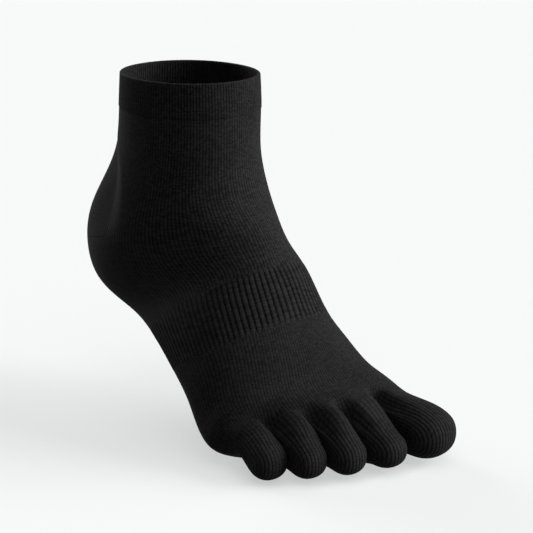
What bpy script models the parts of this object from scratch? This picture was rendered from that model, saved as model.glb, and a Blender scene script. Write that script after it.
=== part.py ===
"""A five-toed ankle sock for the right foot, standing on its toes with the heel raised.

The sock is one knitted sleeve that runs down the leg, round the heel and along the foot, with
five toe pockets at its front end. Its zones are separate solids: a doubled cuff, the leg and
foot with a window at the heel, the heel pocket in that window, a ribbed arch band, the forefoot
and the toe pockets. All of them are walls cut from the same surface, a small gap apart.

Foot coordinates, used up to the function place, are forward from the back of the heel, across
towards the little toe, and height above the floor that the toes stand on. In the model +Z is
up, the toes point along -Y, the little toe is on the -X side, and the origin is the centre of
the leg opening. All lengths are in metres.
"""

import math
from collections import namedtuple

import bpy
import numpy as np

# Overall sizes of the sock as it stands
FOOT_REACH = 0.233  # along the floor, from the back of the heel to the tip of the big toe
HEEL_LIFT = 0.054  # floor to the underside of the heel
FOOT_HEIGHT = 0.098  # underside of the heel to the ankle, where the leg begins
LEG_HEIGHT = 0.0425  # ankle to rim
LEG_REACH = 0.0735  # back of the heel to the axis of the leg
LEG_DEPTH = 0.0790  # front to back of the rim
LEG_WIDTH = 0.0715  # side to side of the rim
BALL_WIDTH = 0.102  # across the ball of the foot

# Knitted walls and zones
WALL = 0.0014  # plain knit
CUFF_WALL = 0.0024  # the cuff is the same knit, turned in and doubled
CUFF_HEIGHT = 0.019
CUFF_PROUD = 0.0007  # how far the cuff stands out past the leg
CUFF_ROUND = 0.0008  # radius of the cuff's edges
RIB_COUNT = 76
RIB_DEPTH = 0.0006
KNIT_GAP = 0.0003  # clearance between neighbouring zones

# Toe pockets
TOE_VALLEY = 0.009  # how deep the forefoot dips between two toes where their pockets begin
SOLE_VALLEY = 0.004  # the same from below
VALLEY_SPREAD = 0.0035  # half the width of such a dip
TOE_TIP_SHARE = 0.42  # share of a pocket's length that its rounded end takes
TOE_SQUARENESS = 2.3  # exponent of a toe's cross-section, 2 for an ellipse

# Facets
SLEEVE_FACETS = 36
HEEL_FACETS = 22  # of those, the ones that the heel pocket takes
LOBE_FACETS = 5  # across each toe, on the forefoot and on the pocket
SIDE_FACETS = 3  # down each side of a toe pocket
TIP_ROWS = 5  # of facets in the rounded end of a toe pocket
EDGE_STRIP = 0.06  # width of the narrow facets at a zone's edge, as a share of it or in radians

BLACK_KNIT = (0.012, 0.012, 0.013, 1.0)
BLACK_RIB = (0.010, 0.010, 0.011, 1.0)

# Level rings of the leg. Level is a share of LEG_HEIGHT, front and back are shares of LEG_DEPTH
# from the leg's axis, and outer and inner are shares of LEG_WIDTH.
LegRow = namedtuple("LegRow", "name level front back outer inner")
LEG_ROWS = (
    LegRow("rim", 1.00, 0.500, 0.500, 0.500, 0.490),
    LegRow("mid_leg", 0.55, 0.505, 0.515, 0.505, 0.490),
    LegRow("ankle", 0.00, 0.502, 0.565, 0.512, 0.497),
)

# Rings round the heel and foot, each on a plane through a sole point and a top point. Reaches
# are shares of FOOT_REACH, lift is a share of HEEL_LIFT that carries the whole ring, and rises
# are shares of FOOT_HEIGHT above it. Outer and inner half widths are shares of BALL_WIDTH.
# Belly is where the ring is widest, from 0 at the sole to 1 at the top. Skew sets the outer
# side back, and tilt lets the top fall towards the outer side, both per unit of width.
FootRow = namedtuple(
    "FootRow",
    "name sole_reach sole_rise top_reach top_rise lift outer inner belly square skew tilt",
)
FOOT_ROWS = (
    FootRow("achilles", 0.070, 0.77, 0.508, 0.79, 1.00, 0.382, 0.365, 0.52, 2.1, 0.08, 0.00),
    FootRow("heel_back", 0.000, 0.46, 0.553, 0.66, 1.00, 0.400, 0.375, 0.50, 2.0, 0.10, 0.00),
    FootRow("heel_under", 0.027, 0.17, 0.585, 0.56, 1.00, 0.378, 0.375, 0.45, 2.1, 0.10, 0.00),
    FootRow("heel_front", 0.190, 0.00, 0.603, 0.50, 1.00, 0.370, 0.375, 0.42, 2.2, 0.08, 0.00),
    FootRow("band_back", 0.292, 0.00, 0.625, 0.51, 0.87, 0.420, 0.365, 0.42, 2.2, 0.10, 0.00),
    FootRow("band_front", 0.429, 0.00, 0.680, 0.44, 0.58, 0.462, 0.375, 0.42, 2.2, 0.12, 0.00),
    FootRow("waist", 0.515, 0.00, 0.710, 0.45, 0.35, 0.512, 0.400, 0.42, 2.3, 0.17, 0.00),
    FootRow("ball_back", 0.597, 0.00, 0.740, 0.48, 0.07, 0.547, 0.445, 0.42, 2.4, 0.25, 0.00),
    FootRow("ball", 0.683, 0.00, 0.770, 0.43, 0.00, 0.535, 0.475, 0.42, 2.6, 0.33, 0.00),
    FootRow("toe_line", 0.780, 0.02, 0.800, 0.362, 0.00, 0.500, 0.460, 0.45, 2.4, 0.00, 0.03),
)
BAND_START = "band_back"
BAND_END = "band_front"

# The heel pocket, in rings below the rim. Its upper edge is level round the back and climbs at
# the sides, its lower edge crosses the sole, and both end at the gores in front of the ankle.
HEEL_TOP_RING = 4.22
HEEL_CLIMB_RINGS = 1.65
HEEL_CLIMB_COSINE = -0.20  # cosine of the angle round the sleeve at which the climb sets in
HEEL_CLIMB_EASE_COSINE = 0.10
HEEL_END_RING = 6.5
GORE_COSINE = 0.20
GORE_RINGS = 0.50

# The line along which the toe pockets begin, from the inner edge of the foot to the outer one.
# Across is a share of BALL_WIDTH, reach a share of FOOT_REACH.
WebRow = namedtuple("WebRow", "name across reach")
WEB_ROWS = (
    WebRow("inner_edge", -0.460, 0.800),
    WebRow("big_and_second", -0.215, 0.824),
    WebRow("second_and_third", 0.025, 0.833),
    WebRow("third_and_fourth", 0.180, 0.790),
    WebRow("fourth_and_little", 0.340, 0.722),
    WebRow("outer_edge", 0.500, 0.685),
)

# Toe pockets, big toe first. Tip reach is a share of FOOT_REACH, the other columns are shares
# of BALL_WIDTH. Width and height are those of the pocket just behind its rounded end, and lift
# is from the floor to the underside there.
ToeRow = namedtuple("ToeRow", "name tip_reach tip_across width height lift")
TOE_ROWS = (
    ToeRow("big_toe", 1.000, -0.340, 0.310, 0.260, 0.028),
    ToeRow("second_toe", 0.960, -0.070, 0.205, 0.190, 0.030),
    ToeRow("third_toe", 0.918, 0.140, 0.195, 0.190, 0.029),
    ToeRow("fourth_toe", 0.866, 0.310, 0.195, 0.190, 0.022),
    ToeRow("little_toe", 0.803, 0.445, 0.200, 0.190, 0.015),
)

Ring = namedtuple(
    "Ring",
    "sole_forward sole_height top_forward top_height outer inner belly square skew tilt",
)


def leg_ring(row):
    """A level ring of the leg, in metres."""
    height = HEEL_LIFT + FOOT_HEIGHT + row.level * LEG_HEIGHT
    back = LEG_REACH - row.back * LEG_DEPTH
    front = LEG_REACH + row.front * LEG_DEPTH
    outer = row.outer * LEG_WIDTH
    inner = row.inner * LEG_WIDTH
    return Ring(back, height, front, height, outer, inner, 0.5, 2.1, 0.0, 0.0)


def foot_ring(row):
    """A ring round the heel or foot, in metres."""
    base = row.lift * HEEL_LIFT
    return Ring(
        row.sole_reach * FOOT_REACH,
        base + row.sole_rise * FOOT_HEIGHT,
        row.top_reach * FOOT_REACH,
        base + row.top_rise * FOOT_HEIGHT,
        row.outer * BALL_WIDTH,
        row.inner * BALL_WIDTH,
        row.belly,
        row.square,
        row.skew,
        row.tilt,
    )


RINGS = [leg_ring(row) for row in LEG_ROWS] + [foot_ring(row) for row in FOOT_ROWS]
STATIONS = {row.name: station for station, row in enumerate(LEG_ROWS + FOOT_ROWS)}
TOE_LINE = STATIONS["toe_line"]
VALLEY_START = STATIONS["ball_back"] + 0.6  # station where the dips between the toes begin


def power(value, exponent):
    """The value's size raised to the exponent, with its sign kept."""
    return np.sign(value) * np.abs(value) ** exponent


def smooth_step(value):
    """0 up to 0, 1 from 1 on, and a smooth S in between."""
    share = np.clip(value, 0.0, 1.0)
    return share * share * (3.0 - 2.0 * share)


def ring_points(ring, angles):
    """Points of a ring: a superellipse round the line from its sole point to its top point.

    The angle is 0 at the top, a quarter turn at the outer side and a half turn at the sole.
    """
    up = power(np.cos(angles), 2.0 / ring.square)
    side = power(np.sin(angles), 2.0 / ring.square)
    across = np.where(side > 0.0, ring.outer, ring.inner) * side
    level = ring.belly + np.where(up > 0.0, 1.0 - ring.belly, ring.belly) * up
    forward = ring.sole_forward + level * (ring.top_forward - ring.sole_forward)
    height = ring.sole_height + level * (ring.top_height - ring.sole_height)
    forward = forward - ring.skew * across
    height = height - ring.tilt * level * across
    return np.stack([forward, across, height], axis=-1)


def toe_line_forward(across):
    """How far forward the toe pockets begin, at each distance across the foot."""
    marks = [row.across * BALL_WIDTH for row in WEB_ROWS]
    reaches = [row.reach * FOOT_REACH for row in WEB_ROWS]
    return np.interp(across, marks, reaches)


def sleeve(stations, angles):
    """Points of the sock's outer surface, one row for each station and a column for each angle.

    A station counts rings from the rim, and may differ from column to column. Between two rings
    a column follows a cubic through the rings around it. In front of the ball the surface dips
    towards the gaps between the toes.
    """
    angles = np.asarray(angles, float)
    stations = np.asarray(stations, float)
    if stations.ndim == 1:
        stations = stations[:, None]
    stations = np.broadcast_to(stations, (len(stations), len(angles)))
    columns = np.arange(len(angles))
    rings = np.array([ring_points(ring, angles) for ring in RINGS])
    rings[-1, :, 0] = toe_line_forward(rings[-1, :, 1])
    slopes = np.gradient(rings, axis=0)
    below = np.clip(np.floor(stations).astype(int), 0, len(RINGS) - 2)
    t = (stations - below)[..., None]
    points = (
        (2 * t**3 - 3 * t**2 + 1) * rings[below, columns]
        + (t**3 - 2 * t**2 + t) * slopes[below, columns]
        + (3 * t**2 - 2 * t**3) * rings[below + 1, columns]
        + (t**3 - t**2) * slopes[below + 1, columns]
    )
    growth = smooth_step((stations - VALLEY_START) / (TOE_LINE - VALLEY_START))
    depth = np.where(np.cos(angles) > 0.0, TOE_VALLEY, SOLE_VALLEY) * np.cos(angles)
    dips = sum(
        np.exp(-(((points[..., 1] - row.across * BALL_WIDTH) / VALLEY_SPREAD) ** 2))
        for row in WEB_ROWS[1:-1]
    )
    points[..., 2] -= growth * depth * dips
    return points


def even_angles(station, count, start=0.0, end=2.0 * math.pi):
    """Angles that part a stretch of the ring at a station into equal lengths, ends included."""
    fine = np.linspace(start, end, 721)
    steps = np.linalg.norm(np.diff(sleeve([station], fine)[0], axis=0), axis=1)
    run = np.concatenate([[0.0], np.cumsum(steps)])
    return np.interp(np.linspace(0.0, run[-1], count + 1), run, fine)


def station_below_rim(drop):
    """The station of the leg's ring that lies a given distance below the rim."""
    fine = np.linspace(0.0, STATIONS["ankle"], 201)
    fall = LEG_HEIGHT + FOOT_HEIGHT + HEEL_LIFT - sleeve(fine, [0.0])[:, 0, 2]
    return float(np.interp(drop, fall, fine))


def pull_in(points, gap):
    """Moves the first row of a grid towards the second by the gap."""
    steps = points[1] - points[0]
    moved = points.copy()
    moved[0] += gap * steps / np.linalg.norm(steps, axis=-1, keepdims=True)
    return moved


def outward(points):
    """Unit normals of a closed grid of points, out of the sock."""
    along = np.gradient(points, axis=0)
    around = np.roll(points, -1, axis=1) - np.roll(points, 1, axis=1)
    normals = np.cross(along, around)
    return normals / np.linalg.norm(normals, axis=-1, keepdims=True)


def place(points):
    """Foot coordinates to the model's frame, whose origin is the centre of the leg opening."""
    forward, across, height = np.moveaxis(points, -1, 0)
    rim = HEEL_LIFT + FOOT_HEIGHT + LEG_HEIGHT
    return np.stack([-across, LEG_REACH - forward, height - rim], axis=-1)


def material(name, colour, roughness):
    """A knitted yarn: matt, and never metallic."""
    made = bpy.data.materials.new(name)
    made.use_nodes = True
    shader = made.node_tree.nodes["Principled BSDF"]
    shader.inputs["Base Color"].default_value = colour
    shader.inputs["Roughness"].default_value = roughness
    shader.inputs["Metallic"].default_value = 0.0
    made.diffuse_color = colour
    return made


def knitted(name, points, yarn, wall=WALL, closed=True, pole=None, window=None, proud=0.0):
    """One zone of the sock: the outer skin through a grid of points, thickened inwards.

    A closed grid joins its last column to its first. A pole is a last point that closes the
    end. A window is a pair of ranges, of rows and of columns, that are left open. Proud is how
    much of the wall stands outside the skin.
    """
    rows, columns = points.shape[:2]
    corners = [tuple(point) for point in place(points).reshape(-1, 3)]
    open_rows, open_columns = window if window else (range(0), range(0))
    faces = []
    for row in range(rows - 1):
        for column in range(columns if closed else columns - 1):
            if row in open_rows and column in open_columns:
                continue
            here = row * columns + column
            beside = row * columns + (column + 1) % columns
            faces.append((here, beside, beside + columns, here + columns))
    if pole is not None:
        corners.append(tuple(place(pole)))
        last = (rows - 1) * columns
        for column in range(columns):
            faces.append((last + column, last + (column + 1) % columns, len(corners) - 1))
    used = sorted({corner for face in faces for corner in face})
    kept = {corner: number for number, corner in enumerate(used)}
    mesh = bpy.data.meshes.new(name)
    mesh.from_pydata(
        [corners[corner] for corner in used],
        [],
        [[kept[corner] for corner in face] for face in faces],
    )
    mesh.shade_smooth()
    mesh.set_sharp_from_angle(angle=math.radians(50))
    mesh.materials.append(yarn)
    zone = bpy.data.objects.new(name, mesh)
    bpy.context.scene.collection.objects.link(zone)
    thickness = zone.modifiers.new("wall", "SOLIDIFY")
    thickness.thickness = wall
    thickness.offset = 2.0 * proud / wall - 1.0
    return zone


def with_strips(values):
    """The values with one more just inside each end."""
    near_start, near_end = values[0] + EDGE_STRIP, values[-1] - EDGE_STRIP
    return np.concatenate([values[:1], [near_start], values[1:-1], [near_end], values[-1:]])


def build_cuff(yarn):
    """The doubled band at the top, a little proud of the leg, with its edges rolled over."""
    stations = np.linspace(STATIONS["rim"], station_below_rim(CUFF_HEIGHT), 3)
    points = sleeve(stations, even_angles(STATIONS["rim"], SLEEVE_FACETS)[:-1])
    cuff = knitted("cuff", points, yarn, wall=CUFF_WALL, proud=CUFF_PROUD)
    edges = cuff.modifiers.new("rolled_edges", "BEVEL")
    edges.width = CUFF_ROUND
    edges.segments = 2
    edges.limit_method = "ANGLE"
    edges.angle_limit = math.radians(60)


def heel_edges(angles):
    """Stations of the heel pocket's upper and lower edge, at each angle round the sleeve."""
    cosine = np.minimum(np.cos(angles), GORE_COSINE)
    past = (cosine - HEEL_CLIMB_COSINE) / HEEL_CLIMB_EASE_COSINE
    upper = HEEL_TOP_RING - HEEL_CLIMB_RINGS * HEEL_CLIMB_EASE_COSINE * np.logaddexp(0.0, past)
    low_end = upper[np.argmax(cosine)] + GORE_RINGS
    lower = low_end + (HEEL_END_RING - low_end) * (GORE_COSINE - cosine) / (GORE_COSINE + 1.0)
    return upper, lower


def heel_and_other_angles():
    """Angles across the heel pocket, and those of the leg before and after them."""
    gore = math.acos(GORE_COSINE)
    far_gore = 2.0 * math.pi - gore
    half_front = (SLEEVE_FACETS - HEEL_FACETS) // 2
    across_heel = even_angles(HEEL_TOP_RING, HEEL_FACETS, gore, far_gore)
    before = even_angles(HEEL_TOP_RING, half_front, 0.0, gore - EDGE_STRIP)
    after = even_angles(HEEL_TOP_RING, half_front, far_gore + EDGE_STRIP)[:-1]
    return with_strips(across_heel), before, after


def between(start, end, shares):
    """Rows of stations from one edge to another, at the given shares of the way."""
    return start + np.asarray(shares)[:, None] * (end - start)


def build_leg_and_foot(yarn):
    """The sleeve from the cuff to the arch band, with a window where the heel pocket is."""
    heel_angles, before, after = heel_and_other_angles()
    angles = np.concatenate([before, heel_angles, after])
    upper, lower = heel_edges(angles)
    above = between(station_below_rim(CUFF_HEIGHT), upper, with_strips(np.linspace(0.0, 1.0, 6)))
    beside = between(upper, lower, with_strips(np.linspace(0.0, 1.0, 5)))
    ahead = between(lower, STATIONS[BAND_START], with_strips(np.linspace(0.0, 1.0, 4)))
    points = sleeve(np.concatenate([above, beside[1:], ahead[1:]]), angles)
    first_row, first_column = len(above) - 1, len(before)
    window = (
        range(first_row, first_row + len(beside) - 1),
        range(first_column, first_column + len(heel_angles) - 1),
    )
    knitted("leg_and_foot", pull_in(points, KNIT_GAP), yarn, window=window)


def build_heel_pocket(yarn):
    """The cup at the back and under the heel, clear of the window's four edges."""
    angles = heel_and_other_angles()[0]
    upper, lower = heel_edges(angles)
    points = sleeve(between(upper, lower, with_strips(np.linspace(0.0, 1.0, 5))), angles)
    for _ in range(4):
        points = np.rot90(pull_in(points, KNIT_GAP))
    knitted("heel_pocket", points, yarn, closed=False)


def build_arch_band(yarn):
    """The elastic band round the arch, with a crest and a groove for each rib."""
    stations = with_strips(np.linspace(STATIONS[BAND_START], STATIONS[BAND_END], 2))
    points = sleeve(stations, even_angles(STATIONS[BAND_START], 2 * RIB_COUNT)[:-1])
    groove = np.arange(2 * RIB_COUNT) % 2
    points = points - RIB_DEPTH * groove[:, None] * outward(points)
    knitted("arch_band", pull_in(points, KNIT_GAP), yarn)


def ring_angle(across):
    """Angle on the upper half of the toe line's ring, at a distance across the foot."""
    ring = RINGS[TOE_LINE]
    share = across / (ring.outer if across > 0.0 else ring.inner)
    return float(np.arcsin(power(np.clip(share, -1.0, 1.0), ring.square / 2.0)))


def lobe_angles():
    """Angles over the top of the toe line's ring, a run of LOBE_FACETS steps for each toe."""
    marks = [ring_angle(row.across * BALL_WIDTH) for row in WEB_ROWS]
    marks[0] = math.radians(-68)
    marks[-1] = math.radians(68)
    runs = [
        np.linspace(start, end, LOBE_FACETS, endpoint=False)
        for start, end in zip(marks, marks[1:])
    ]
    return np.append(np.concatenate(runs), marks[-1])


def side_angles(start, end):
    """Angles down a side of the foot, without the two ends."""
    return np.linspace(start, end, SIDE_FACETS + 1)[1:-1]


def build_forefoot(yarn):
    """The sleeve from the arch band to the toe line, dipping between the toes."""
    top = lobe_angles()
    sole = math.pi - top[::-1]
    angles = np.concatenate(
        [
            top,
            side_angles(top[-1], sole[0]),
            sole,
            side_angles(sole[-1], 2.0 * math.pi + top[0]),
        ]
    )
    stations = np.concatenate(
        [
            np.linspace(STATIONS[BAND_END], STATIONS["ball"], 4),
            np.linspace(STATIONS["ball"], TOE_LINE, 5)[1:],
        ]
    )
    points = sleeve(with_strips(stations), angles)
    knitted("forefoot", pull_in(points, KNIT_GAP), yarn)


def toe_outline(number):
    """The outline that a toe pocket starts from, on the toe line; 0 is the big toe's.

    It runs over the top of the toe, down its outer side, back under it and up its inner side.
    A side next to another toe is straight, and the foot's own two sides follow its ring.
    """
    start = number * LOBE_FACETS
    top = lobe_angles()[start : start + LOBE_FACETS + 1]
    sole = math.pi - top[::-1]
    over, under = sleeve([TOE_LINE], top)[0], sleeve([TOE_LINE], sole)[0]
    shares = np.linspace(0.0, 1.0, SIDE_FACETS + 1)[1:-1, None]
    outer = over[-1] + shares * (under[0] - over[-1])
    inner = under[-1] + shares * (over[0] - under[-1])
    if number == len(TOE_ROWS) - 1:
        outer = sleeve([TOE_LINE], side_angles(top[-1], sole[0]))[0]
    if number == 0:
        inner = sleeve([TOE_LINE], side_angles(sole[-1], 2.0 * math.pi + top[0]))[0]
    return np.concatenate([over, outer, under, inner])


def parting_line(number):
    """Across, forward and slope of the line on which two neighbouring toe pockets part."""
    web = WEB_ROWS[number + 1]
    toe, neighbour = TOE_ROWS[number], TOE_ROWS[number + 1]
    whole = toe.width + neighbour.width
    tip_across = (toe.tip_across * neighbour.width + neighbour.tip_across * toe.width) / whole
    tip_forward = 0.5 * (toe.tip_reach + neighbour.tip_reach) * FOOT_REACH
    across, forward = web.across * BALL_WIDTH, web.reach * FOOT_REACH
    return across, forward, (tip_across * BALL_WIDTH - across) / (tip_forward - forward)


def build_toe(number, yarn):
    """A toe pocket: its outline on the toe line turns round and then closes at the tip."""
    toe = TOE_ROWS[number]
    outline = toe_outline(number)
    low, high = outline.min(axis=0), outline.max(axis=0)
    centre = 0.5 * (low + high)
    half_width, half_height = 0.5 * (high - low)[1:]
    spin = np.arctan2(
        (outline[:, 1] - centre[1]) / half_width,
        (outline[:, 2] - centre[2]) / half_height,
    )
    side = power(np.sin(spin), 2.0 / TOE_SQUARENESS)
    up = power(np.cos(spin), 2.0 / TOE_SQUARENESS)
    tip = np.array([toe.tip_reach * FOOT_REACH, toe.tip_across * BALL_WIDTH])
    axis = tip - centre[:2]
    forward_share, across_share = axis / np.linalg.norm(axis)
    tip_half_height = 0.5 * toe.height * BALL_WIDTH
    tip_half_width = 0.5 * toe.width * BALL_WIDTH
    tip_height = toe.lift * BALL_WIDTH + tip_half_height

    round_start = 1.0 - TOE_TIP_SHARE
    turns = np.radians(np.linspace(0.0, 78.0, TIP_ROWS + 1)[1:])
    shares = np.concatenate(
        [np.linspace(0.0, round_start, 4), round_start + TOE_TIP_SHARE * np.sin(turns)]
    )
    rows = []
    for share in shares:
        rounding = smooth_step(share / round_start)
        drop = share**1.4
        half_across = half_width + smooth_step(share / round_start) * (tip_half_width - half_width)
        half_up = half_height + drop * (tip_half_height - half_height)
        middle = centre[2] + drop * (tip_height - centre[2])
        past = max(0.0, (share - round_start) / TOE_TIP_SHARE)
        closing = (1.0 - past**2.2) ** (1.0 / 2.2)
        moved = outline.copy()
        moved[:, :2] += share * axis
        turned = np.stack(
            [
                centre[0] + share * axis[0] - closing * half_across * side * across_share,
                centre[1] + share * axis[1] + closing * half_across * side * forward_share,
                middle + closing * half_up * up,
            ],
            axis=-1,
        )
        rows.append((1.0 - rounding) * moved + rounding * turned)
    points = np.array(rows)
    for web, sign in [(number - 1, 1.0), (number, -1.0)]:
        if 0 <= web < len(TOE_ROWS) - 1:
            across, forward, slope = parting_line(web)
            limit = across + slope * (points[..., 0] - forward) + sign * 0.5 * KNIT_GAP
            keep = np.maximum if sign > 0.0 else np.minimum
            points[..., 1] = keep(points[..., 1], limit)
    pole = np.array([tip[0], tip[1], tip_height])
    knitted(toe.name, pull_in(points, 2.0 * KNIT_GAP), yarn, pole=pole)


def main():
    for leftover in list(bpy.data.objects):
        bpy.data.objects.remove(leftover)
    plain_knit = material("plain_knit", BLACK_KNIT, 0.85)
    rib_knit = material("rib_knit", BLACK_RIB, 0.85)
    build_cuff(rib_knit)
    build_leg_and_foot(plain_knit)
    build_heel_pocket(plain_knit)
    build_arch_band(rib_knit)
    build_forefoot(plain_knit)
    for number in range(len(TOE_ROWS)):
        build_toe(number, plain_knit)


main()
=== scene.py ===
"""A black five-toed ankle sock for the right foot, standing on its toes with the heel raised.

The sock is one knitted sleeve down the leg, round the heel and along the foot, with five toe
pockets at its end. Every zone is a shell cut from that sleeve: an outer skin that carries the
relief of the knit, an inner skin one wall further in, and a narrow edge that closes them.

Surfaces are worked out as whole grids, in metres. Foot coordinates are forward from the back of
the heel, across towards the little toe, and height above the floor; the function place turns
them into the model's frame. A station counts the sleeve's rings from the rim down, and an angle
runs round a ring from its top towards the outer side.
"""

import math
from collections import namedtuple

import bpy
import numpy as np
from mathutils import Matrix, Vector


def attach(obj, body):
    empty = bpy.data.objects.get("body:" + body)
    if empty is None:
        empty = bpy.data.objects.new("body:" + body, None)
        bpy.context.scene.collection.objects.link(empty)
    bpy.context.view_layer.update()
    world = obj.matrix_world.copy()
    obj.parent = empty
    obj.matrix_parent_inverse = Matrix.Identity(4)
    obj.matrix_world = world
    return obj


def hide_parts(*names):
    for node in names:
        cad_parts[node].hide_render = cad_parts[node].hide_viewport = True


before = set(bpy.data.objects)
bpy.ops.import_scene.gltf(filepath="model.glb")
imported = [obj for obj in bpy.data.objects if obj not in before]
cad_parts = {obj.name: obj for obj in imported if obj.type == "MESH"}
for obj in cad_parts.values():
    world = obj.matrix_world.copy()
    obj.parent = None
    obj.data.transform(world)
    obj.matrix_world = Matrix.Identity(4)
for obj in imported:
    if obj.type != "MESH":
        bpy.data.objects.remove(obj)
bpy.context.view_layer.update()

MM = 0.001

# Overall sizes of the sock as it stands
FOOT_REACH = 0.233  # along the floor, from the back of the heel to the tip of the big toe
HEEL_LIFT = 0.054  # floor to the underside of the heel
FOOT_HEIGHT = 0.098  # underside of the heel to the ankle, where the leg begins
LEG_HEIGHT = 0.0425  # ankle to rim
LEG_REACH = 0.0735  # back of the heel to the axis of the leg
LEG_DEPTH = 0.0790  # front to back of the rim
LEG_WIDTH = 0.0715  # side to side of the rim
BALL_WIDTH = 0.102  # across the ball of the foot
FLOOR = -(HEEL_LIFT + FOOT_HEIGHT + LEG_HEIGHT)

# Knitted walls
WALL = 1.4 * MM
CUFF_WALL = 1.8 * MM  # the cuff is the same knit, turned in and doubled
CUFF_HEIGHT = 19.0 * MM
CUFF_PROUD = 0.3 * MM  # how far it stands out from the leg
CUFF_LIP = 0.45 * MM  # radius of the cuff's lower edge
CUFF_OVERLAP = 1.5 * MM  # how far the leg runs up into the cuff
VALLEY_SPREAD = 3.5 * MM  # half the width of a dip between two toes
TOE_VALLEY = 9.0 * MM  # depth of that dip at the toe line, on top of the foot
SOLE_VALLEY = 4.0 * MM  # and under the sole

# Level rings of the leg. Level is a share of LEG_HEIGHT, front and back are shares of LEG_DEPTH
# from the leg's axis, outer and inner are shares of LEG_WIDTH.
LegRow = namedtuple("LegRow", "name level front back outer inner")
LEG_ROWS = (
    LegRow("rim", 1.00, 0.500, 0.500, 0.500, 0.490),
    LegRow("mid_leg", 0.55, 0.508, 0.520, 0.508, 0.500),
    LegRow("ankle", 0.00, 0.508, 0.572, 0.516, 0.508),
)
LEG_BELLY = 0.5  # a leg ring is widest half way between its back and its front
LEG_SQUARENESS = 2.1  # exponent of its outline, 2 for an ellipse

# Rings round the heel and foot, each on a plane through a sole point and a top point. Reaches
# are shares of FOOT_REACH, lift is a share of HEEL_LIFT, rises are shares of FOOT_HEIGHT above
# it, outer and inner are shares of BALL_WIDTH. Belly is where the ring is widest, skew sets the
# outer side back, and tilt lets the top fall towards the outer side.
FootRow = namedtuple(
    "FootRow",
    "name sole_reach sole_rise top_reach top_rise lift outer inner belly square skew tilt",
)
FOOT_ROWS = (
    FootRow("achilles", 0.070, 0.77, 0.508, 0.79, 1.00, 0.382, 0.365, 0.52, 2.1, 0.08, 0.00),
    FootRow("heel_back", 0.000, 0.46, 0.553, 0.66, 1.00, 0.400, 0.375, 0.50, 2.0, 0.10, 0.00),
    FootRow("heel_under", 0.027, 0.17, 0.585, 0.56, 1.00, 0.378, 0.375, 0.45, 2.1, 0.10, 0.00),
    FootRow("heel_front", 0.190, 0.00, 0.603, 0.50, 1.00, 0.370, 0.375, 0.42, 2.2, 0.08, 0.00),
    FootRow("band_back", 0.292, 0.00, 0.625, 0.51, 0.87, 0.420, 0.365, 0.42, 2.2, 0.10, 0.00),
    FootRow("band_front", 0.429, 0.00, 0.680, 0.44, 0.58, 0.486, 0.375, 0.42, 2.2, 0.12, 0.00),
    FootRow("waist", 0.515, 0.00, 0.710, 0.45, 0.35, 0.512, 0.400, 0.42, 2.3, 0.17, 0.00),
    FootRow("ball_back", 0.597, 0.00, 0.740, 0.48, 0.07, 0.530, 0.445, 0.42, 2.4, 0.25, 0.00),
    FootRow("ball", 0.683, 0.00, 0.770, 0.43, 0.00, 0.535, 0.475, 0.42, 2.6, 0.33, 0.00),
    FootRow("toe_line", 0.780, 0.02, 0.800, 0.362, 0.00, 0.500, 0.460, 0.50, 2.6, 0.00, 0.06),
)

# The line on which the toe pockets begin, from the inner edge of the foot to the outer one:
# across as a share of BALL_WIDTH and reach as a share of FOOT_REACH.
WebRow = namedtuple("WebRow", "name across reach")
WEB_ROWS = (
    WebRow("inner_edge", -0.460, 0.855),
    WebRow("big_and_second", -0.215, 0.824),
    WebRow("second_and_third", 0.025, 0.833),
    WebRow("third_and_fourth", 0.180, 0.790),
    WebRow("fourth_and_little", 0.340, 0.722),
    WebRow("outer_edge", 0.500, 0.685),
)

# Toe pockets. Tip reach is a share of FOOT_REACH, the rest are shares of BALL_WIDTH: where the
# tip lies across, the pocket's width and height behind its rounded end, and its lift there.
ToeRow = namedtuple("ToeRow", "name tip_reach tip_across width height lift")
TOE_ROWS = (
    ToeRow("big_toe", 1.000, -0.340, 0.310, 0.260, 0.028),
    ToeRow("second_toe", 0.960, -0.070, 0.205, 0.190, 0.030),
    ToeRow("third_toe", 0.918, 0.140, 0.195, 0.190, 0.029),
    ToeRow("fourth_toe", 0.866, 0.310, 0.195, 0.190, 0.022),
    ToeRow("little_toe", 0.803, 0.445, 0.200, 0.190, 0.015),
)
TOE_LINE_FALL = 0.22  # how steeply the top of the foot falls at the toe line
TOE_LINE_SPREAD = 0.06  # and how much it runs outwards there
TOE_SLOPE = 34.0  # degrees by which the top of a pocket falls where its rounded end begins
TOE_TIP_SHARE = 0.42  # share of a pocket's length that its rounded end takes
TOE_SQUARENESS = 2.25  # exponent of a pocket's cross-section, 2 for an ellipse
TOE_BEND = 2.0 / TOE_SQUARENESS

# Where two toe pockets meet
PARTING_GAP = 0.05 * MM  # from the line between them to either one
PARTING_EASE_ROOT = 0.02 * MM  # how softly a pocket bends into that line, at its root
PARTING_EASE_GROWTH = 0.5 * MM  # how much softer it gets further on
PARTING_EASE_SHARE = 0.3  # share of the pocket's length over which it does so

# The heel pocket, in rings below the rim
HEEL_TOP_RING = 4.22  # its upper edge across the back of the heel
HEEL_CLIMB_RINGS = 1.65  # how steeply that edge climbs at the sides, over the angle's cosine
HEEL_CLIMB_COSINE = -0.20  # cosine of the angle round the sleeve where it begins to climb
HEEL_CLIMB_EASE_COSINE = 0.10  # how gently it begins
HEEL_END_RING = 6.5  # the pocket's lower edge, under the sole
GORE_COSINE = 0.20  # cosine of the angle of its two front corners
GORE_RINGS = 0.50  # height of the pocket there

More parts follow.
